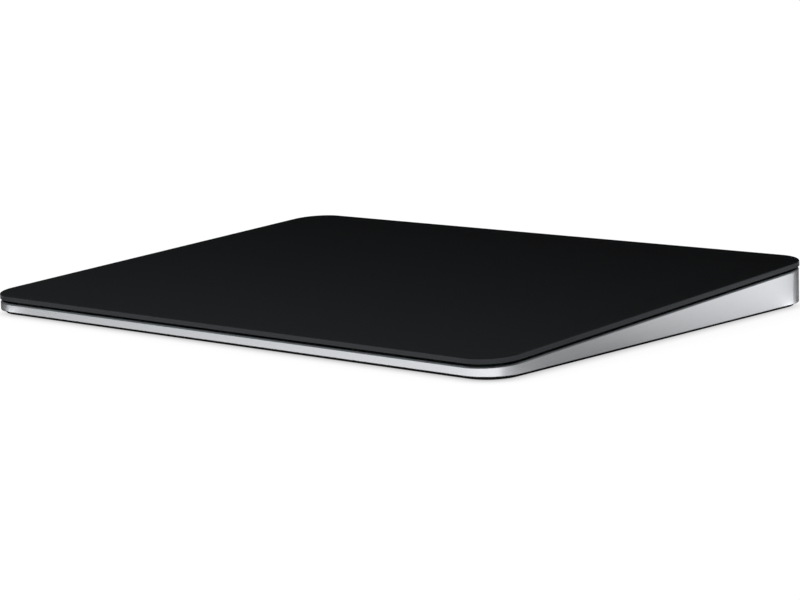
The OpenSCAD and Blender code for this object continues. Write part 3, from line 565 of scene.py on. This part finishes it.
# Battery lead: a flexible circuit from the protection board up to its plug on the logic board.
# Copper tracks between two amber polyimide films, so stripes run its length.
FLEX_TRACK = 0.5
polyimide_flex, tree, shader, place = material("polyimide_flex")
tracks = add(tree, "ShaderNodeTexWave", {
    "Vector": place, "Scale": per(FLEX_TRACK) * WAVE_REPEAT,
}, wave_type="BANDS", bands_direction="X")
surface(tree, shader, tracks.outputs["Fac"], tones=("#7a4310", "#b4702a"), rough=(0.2, 0.32), relief=0.006)
dress(polyimide_flex, "battery_lead")

# Touch ribbon: a lead of the same film from the logic board up to the touch sensor's plug.
# Folded back on itself; in the real part the fold lets its upper run follow the touch plate while its lower
# run stays.
RIBBON_X, RIBBON_WIDTH, RIBBON_THICKNESS = 22.0, 8.0, 0.12
# The fold's radius brings the upper run up to the plug.
FOLD_Y, FOLD_LOW, FOLD_RADIUS, FOLD_STEPS = 46.0, 4.16, 1.707, 32
LOW_RUN, HIGH_RUN = 3.5, 11.5
centre = Vector((RIBBON_X, FOLD_Y, FOLD_LOW + FOLD_RADIUS))
route = []
for step in range(FOLD_STEPS + 1):
    angle = step / FOLD_STEPS * (math.pi + slope) - math.pi / 2
    outward = Vector((0, math.cos(angle), math.sin(angle)))
    route.append((centre + FOLD_RADIUS * outward, outward))
(first, below), (last, above) = route[0], route[-1]
route.insert(0, (first - Vector((0, LOW_RUN, 0)), below))
route.append((last - HIGH_RUN * Vector((0, math.cos(slope), math.sin(slope))), above))
rings = []
for middle, outward in route:
    offset = outward * RIBBON_THICKNESS / 2
    reach = Vector((RIBBON_WIDTH / 2, 0, 0))
    rings.append([
        middle - reach + offset,
        middle - reach - offset,
        middle + reach - offset,
        middle + reach + offset,
    ])
ribbon = solid("ribbon_lead", *wrap(rings), polyimide_flex)
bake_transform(ribbon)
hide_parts("touch_ribbon")

# Plugs and slider: the board plugs, the sensor board's plug and the power switch's slider.
# Injection moulded from ivory liquid crystal polymer, matt with faint flow marks.
FLOW_MARK = 0.8
ivory_resin, tree, shader, place = material("moulded_ivory_resin")
flow = add(tree, "ShaderNodeTexNoise", {
    "Vector": place, "Scale": per(FLOW_MARK), "Detail": 3.0, "Distortion": 1.5,
})
surface(tree, shader, flow.outputs["Fac"], tones=("#d3cbb2", "#e6e0cb"),
        rough=(0.45, 0.6), relief=0.006, edge=0.05)
dress(ivory_resin, "board_plugs", "sensor_plug", "switch_slider")

# Chips and switch case: silicon sealed in black epoxy, and a case of the same moulded look.
# A mineral filler leaves the black resin grey and finely speckled.
FILLER_SPECK = 0.12
chip_epoxy, tree, shader, place = material("filled_black_epoxy")
filler = add(tree, "ShaderNodeTexNoise", {"Vector": place, "Scale": per(FILLER_SPECK), "Detail": 2.0})
surface(tree, shader, filler.outputs["Fac"], tones=("#1d1d1f", "#343437"),
        rough=(0.5, 0.68), relief=0.004, edge=0.05)
dress(chip_epoxy, "main_processor", "radio_chip", "charger_chip", "sensor_chips", "switch_case")

# Shield cans: folded from tinplate and soldered over the processor and the radio.
# Bright tin with a faint crystal spangle.
SPANGLE = 0.9
tinplate, tree, shader, place = material("bright_tinplate")
spangle = add(tree, "ShaderNodeTexVoronoi", {"Vector": place, "Scale": per(SPANGLE)})
tone = add(tree, "ShaderNodeSeparateColor", {"Color": spangle.outputs["Color"]})
surface(tree, shader, tone.outputs["Red"], tones=("#bfbfb8", "#d6d6d0"),
        rough=(0.2, 0.34), relief=0.002, edge=0.06)
shader.inputs["Metallic"].default_value = 1.0
dress(tinplate, "shield_cans")

# Charger inductor: iron powder pressed round a coil and baked.
# Dark grey and matt, with the sparkle of single grains.
POWDER_GRAIN = 0.15
pressed_ferrite, tree, shader, place = material("pressed_ferrite")
grains = add(tree, "ShaderNodeTexVoronoi", {"Vector": place, "Scale": per(POWDER_GRAIN)})
tone = add(tree, "ShaderNodeSeparateColor", {"Color": grains.outputs["Color"]})
surface(tree, shader, tone.outputs["Red"], tones=("#38383b", "#515156"),
        rough=(0.45, 0.75), relief=0.008, edge=0.06)
dress(pressed_ferrite, "charger_inductor")

# Ceramic parts: the rows of capacitors and the chip antenna, fired and then soldered down.
# Tan ceramic, matt and slightly mottled.
CERAMIC_MOTTLE = 0.4
fired_ceramic, tree, shader, place = material("fired_ceramic")
mottle = add(tree, "ShaderNodeTexNoise", {"Vector": place, "Scale": per(CERAMIC_MOTTLE), "Detail": 4.0})
surface(tree, shader, mottle.outputs["Fac"], tones=("#a08a6c", "#cbb999"),
        rough=(0.5, 0.7), relief=0.005, edge=0.04)
dress(fired_ceramic, "small_components", "antenna")

# Charging socket shell: a deep-drawn stainless steel sleeve in the back edge.
# Drawing leaves fine lines from mouth to end, and a satin shine.
DRAWN_LINE_LENGTH, DRAWN_LINE = 6, 0.12
drawn_stainless, tree, shader, place = material("deep_drawn_stainless_steel")
drawn = add(tree, "ShaderNodeMapping", {
    "Vector": place, "Scale": (per(DRAWN_LINE), per(DRAWN_LINE_LENGTH), per(DRAWN_LINE)),
})
lines = add(tree, "ShaderNodeTexNoise", {"Vector": drawn.outputs[0], "Scale": 1.0, "Detail": 3.0})
surface(tree, shader, lines.outputs["Fac"], tones=("#a9aaac", "#c9cacc"),
        rough=(0.22, 0.36), relief=0.003, edge=0.08)
shader.inputs["Metallic"].default_value = 1.0
dress(drawn_stainless, "socket_shell")

# Socket tongue: moulded from black liquid crystal polymer round its contacts.
# Dull black with faint swirls of glass filler.
RESIN_SWIRL = 0.7
black_resin, tree, shader, place = material("moulded_black_resin")
swirl = add(tree, "ShaderNodeTexNoise", {
    "Vector": place, "Scale": per(RESIN_SWIRL), "Detail": 3.0, "Distortion": 2.0,
})
surface(tree, shader, swirl.outputs["Fac"], tones=("#111112", "#232325"),
        rough=(0.4, 0.55), relief=0.004, edge=0.05)
dress(black_resin, "socket_tongue")

# Socket contacts: strips of copper alloy, gold plated, twelve to a face.
# Bright and warm, with a fine rolling grain.
GOLD_GRAIN = 0.1
gold_plate, tree, shader, place = material("hard_gold_plate")
grain = add(tree, "ShaderNodeTexNoise", {"Vector": place, "Scale": per(GOLD_GRAIN), "Detail": 2.0})
surface(tree, shader, grain.outputs["Fac"], tones=("#d9a648", "#edc878"), rough=(0.18, 0.3), relief=0.001)
shader.inputs["Metallic"].default_value = 1.0
dress(gold_plate, "socket_contacts")

# Gaskets of the socket and the switch: die-cut black silicone foam, pressed against the back wall.
# Closed cells leave a fine pitted face with no shine.
GASKET_CELL = 0.2
silicone_foam, tree, shader, place = material("black_silicone_foam")
cells = add(tree, "ShaderNodeTexVoronoi", {"Vector": place, "Scale": per(GASKET_CELL)})
surface(tree, shader, cells.outputs["Distance"], tones=("#101010", "#1f1f20"),
        rough=(0.75, 0.95), relief=0.02)
dress(silicone_foam, "socket_gasket", "switch_gasket")

# Switch backing: a punched plate of black polycarbonate behind the knob's slot.
# Matt, with the even grain of a textured film.
FILM_GRAIN = 0.15
textured_film, tree, shader, place = material("textured_black_polycarbonate")
grain = add(tree, "ShaderNodeTexNoise", {"Vector": place, "Scale": per(FILM_GRAIN), "Detail": 2.0})
surface(tree, shader, grain.outputs["Fac"], tones=("#141415", "#242426"), rough=(0.55, 0.7), relief=0.006)
dress(textured_film, "switch_backing")

# Switch marker: a patch of green polyester film on the backing, bared when the switch is on.
# Printed from behind, so an even green under a light gloss.
PRINT_DOT = 0.2
green_polyester, tree, shader, place = material("printed_green_polyester")
dots = add(tree, "ShaderNodeTexNoise", {"Vector": place, "Scale": per(PRINT_DOT), "Detail": 2.0})
surface(tree, shader, dots.outputs["Fac"], tones=("#1f9a3a", "#35b552"), rough=(0.25, 0.36), relief=0.002)
dress(green_polyester, "switch_on_marker")

# Switch knob: an oblong button milled from the same aluminium as the tub, and finished with it.
# It slides in its slot in the back edge.
dress(blasted_aluminium, "switch_knob")

# Gel pads: small cushions of cast silicone gel between the beams' tips and the touch plate.
# Squeezed a little, so their sides bulge; clear with a blue-grey haze, and tacky.
PAD_WIDTH, PAD_DEPTH, PAD_RADIUS = 8.0, 7.0, 1.5
PAD_LOW, PAD_HIGH = -2.95, -2.45
PAD_BULGE, PAD_ROWS = 0.12, 8
PAD_X, PAD_Y = 51.5, 44.05
GEL_HAZE = 1.5
pads = []
for side in (-1, 1):
    for end in (-1, 1):
        rings = []
        for row in range(PAD_ROWS + 1):
            rise = row / PAD_ROWS
            inset = PAD_BULGE * (2 * rise - 1) ** 2
            level = PAD_LOW + (PAD_HIGH - PAD_LOW) * rise
            rings.append([
                (side * PAD_X + x, end * PAD_Y + y, level)
                for x, y in outline(PAD_WIDTH, PAD_DEPTH, PAD_RADIUS, inset)
            ])
        pads.append(wrap(rings))
silicone_gel, tree, shader, place = material("cast_silicone_gel")
haze = add(tree, "ShaderNodeTexNoise", {"Vector": place, "Scale": per(GEL_HAZE), "Detail": 3.0})
surface(tree, shader, haze.outputs["Fac"], tones=("#8493a0", "#a9b6c0"), rough=(0.15, 0.3), relief=0.004)
shader.inputs["IOR"].default_value = 1.41
shader.inputs["Transmission Weight"].default_value = 0.4
cushions = solid("gel_cushions", *join(pads), silicone_gel)
cushions.data.transform(tilt)
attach(cushions, "pads")
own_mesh(cushions)
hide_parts("gel_pads")

# Black print: a coat of screen ink on the underside of the glass, with the bonding film.
# It is what makes the glass black, and shows only as a line in the gap under it.
MESH_MARK = 0.3
screen_ink, tree, shader, place = material("screen_printed_ink")
mesh_marks = add(tree, "ShaderNodeTexNoise", {"Vector": place, "Scale": per(MESH_MARK), "Detail": 2.0})
surface(tree, shader, mesh_marks.outputs["Fac"], tones=("#050505", "#0c0c0d"),
        rough=(0.6, 0.75), relief=0.003)
shader.inputs["Specular IOR Level"].default_value = 0.1
dress(screen_ink, "ink_film")

# Glass plate: one sheet of strengthened glass, its face acid etched and its edges ground round.
# Blacked from behind, so its face is a deep satin black and its ground edge a shade greyer.
# The etch runs on over the upper steps of the top round. Both grains are drawn coarser than they are.
GLASS_DEPTH, GLASS_THICKNESS, GLASS_CORNER_STEPS = 115.062, 1.15, 32
TOP_ROUND, LOW_ROUND, ROUND_STEPS = 0.2, 0.03, 6
ETCHED_STEPS = 4
ETCH_GRAIN, GRIND_GRAIN = 0.3, 0.2
# A narrow ring beside each round keeps the shading of the flat faces flat.
SUPPORT = 0.05
profile = [(LOW_ROUND + SUPPORT, -GLASS_THICKNESS)]
for step in range(ROUND_STEPS + 1):
    angle = step / ROUND_STEPS * math.pi / 2
    profile.append((
        LOW_ROUND * (1 - math.sin(angle)),
        LOW_ROUND * (1 - math.cos(angle)) - GLASS_THICKNESS,
    ))
for step in range(ROUND_STEPS + 1):
    angle = step / ROUND_STEPS * math.pi / 2
    profile.append((TOP_ROUND * (1 - math.cos(angle)), TOP_ROUND * (math.sin(angle) - 1)))
profile.append((TOP_ROUND + SUPPORT, 0.0))
rings = [
    [(x, y, level) for x, y in outline(PLATE_WIDTH, GLASS_DEPTH, PLATE_CORNER, inset, GLASS_CORNER_STEPS)]
    for inset, level in profile
]
etched_glass, tree, shader, place = material("etched_black_glass")
etch = add(tree, "ShaderNodeTexNoise", {"Vector": place, "Scale": per(ETCH_GRAIN), "Detail": 3.0})
surface(tree, shader, etch.outputs["Fac"], tones=("#060607", "#0b0b0c"), rough=(0.18, 0.26), relief=0.0004)
ground_glass, tree, shader, place = material("ground_glass_edge")
grind = add(tree, "ShaderNodeTexNoise", {"Vector": place, "Scale": per(GRIND_GRAIN), "Detail": 3.0})
surface(tree, shader, grind.outputs["Fac"], tones=("#34373a", "#404346"), rough=(0.4, 0.5), relief=0.002)
shader.inputs["Specular IOR Level"].default_value = 0.15
plate = solid("glass_sheet", *wrap(rings), etched_glass, ground_glass, screen_ink)
GROUND, INKED = 1, 2
ring_faces = len(rings[0])
ground_rings = len(rings) - 2 - ETCHED_STEPS
for face in plate.data.polygons[ring_faces:ring_faces * ground_rings]:
    face.material_index = GROUND
for face in (*plate.data.polygons[:ring_faces], plate.data.polygons[-2]):
    face.material_index = INKED
plate.data.transform(tilt)
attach(plate, "touch_plate")
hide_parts("glass_plate")

# Base tape: a ring of black acrylic foam adhesive that bonds the base plate under the tub.
# Soft and dull, with a fine closed-cell grain at its edge.
TAPE_CELL = 0.18
acrylic_foam, tree, shader, place = material("acrylic_foam_tape")
cells = add(tree, "ShaderNodeTexVoronoi", {"Vector": place, "Scale": per(TAPE_CELL)})
surface(tree, shader, cells.outputs["Distance"], tones=("#18181a", "#2a2a2c"), rough=(0.7, 0.9), relief=0.01)
dress(acrylic_foam, "base_tape")

# Base plate: a thin moulding of black polycarbonate that closes the tub from below.
# The mould is spark eroded, so the face is matt with an even fine grain, drawn coarser than its 0.1 mm.
SPARK_GRAIN = 0.35
spark_grained, tree, shader, place = material("spark_grained_polycarbonate")
grain = add(tree, "ShaderNodeTexNoise", {"Vector": place, "Scale": per(SPARK_GRAIN), "Detail": 3.0})
surface(tree, shader, grain.outputs["Fac"], tones=("#08080a", "#131315"),
        rough=(0.55, 0.7), relief=0.012, edge=0.06)
shader.inputs["Specular IOR Level"].default_value = 0.3
dress(spark_grained, "base_plate")

# Rubber feet: four moulded discs of black silicone rubber, glued into recesses in the base plate.
# Round shouldered and flat where they meet the desk; dull, so they grip.
FOOT_RADIUS, FOOT_HEIGHT = 4.5, 0.55
FOOT_ROUND, FOOT_STEPS, FOOT_SIDES = 0.22, 6, 64
FOOT_FROM_SIDE, FOOT_FROM_END = 14.0, 13.5
RUBBER_GRAIN = 0.3
foot_x, foot_y = PLATE_WIDTH / 2 - FOOT_FROM_SIDE, PLATE_DEPTH / 2 - FOOT_FROM_END
shape = [(FOOT_RADIUS - FOOT_ROUND - SUPPORT, 0.0)]
for step in range(FOOT_STEPS + 1):
    angle = step / FOOT_STEPS * math.pi / 2
    shape.append((
        FOOT_RADIUS - FOOT_ROUND * (1 - math.sin(angle)),
        FOOT_ROUND * (1 - math.cos(angle)),
    ))
shape += [(FOOT_RADIUS, FOOT_HEIGHT - SUPPORT), (FOOT_RADIUS, FOOT_HEIGHT)]
bearings = [2 * math.pi * turn / FOOT_SIDES for turn in range(FOOT_SIDES)]
feet = []
for x in (-foot_x, foot_x):
    for y in (-foot_y, foot_y):
        feet.append(wrap([
            [(x + radius * math.cos(bearing), y + radius * math.sin(bearing), level) for bearing in bearings]
            for radius, level in shape
        ]))
silicone_rubber, tree, shader, place = material("moulded_silicone_rubber")
grain = add(tree, "ShaderNodeTexNoise", {"Vector": place, "Scale": per(RUBBER_GRAIN), "Detail": 3.0})
surface(tree, shader, grain.outputs["Fac"], tones=("#1a1a1b", "#2a2a2b"), rough=(0.7, 0.85), relief=0.01)
discs = solid("rubber_discs", *join(feet), silicone_rubber)
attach(discs, "base")
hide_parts("rubber_feet")
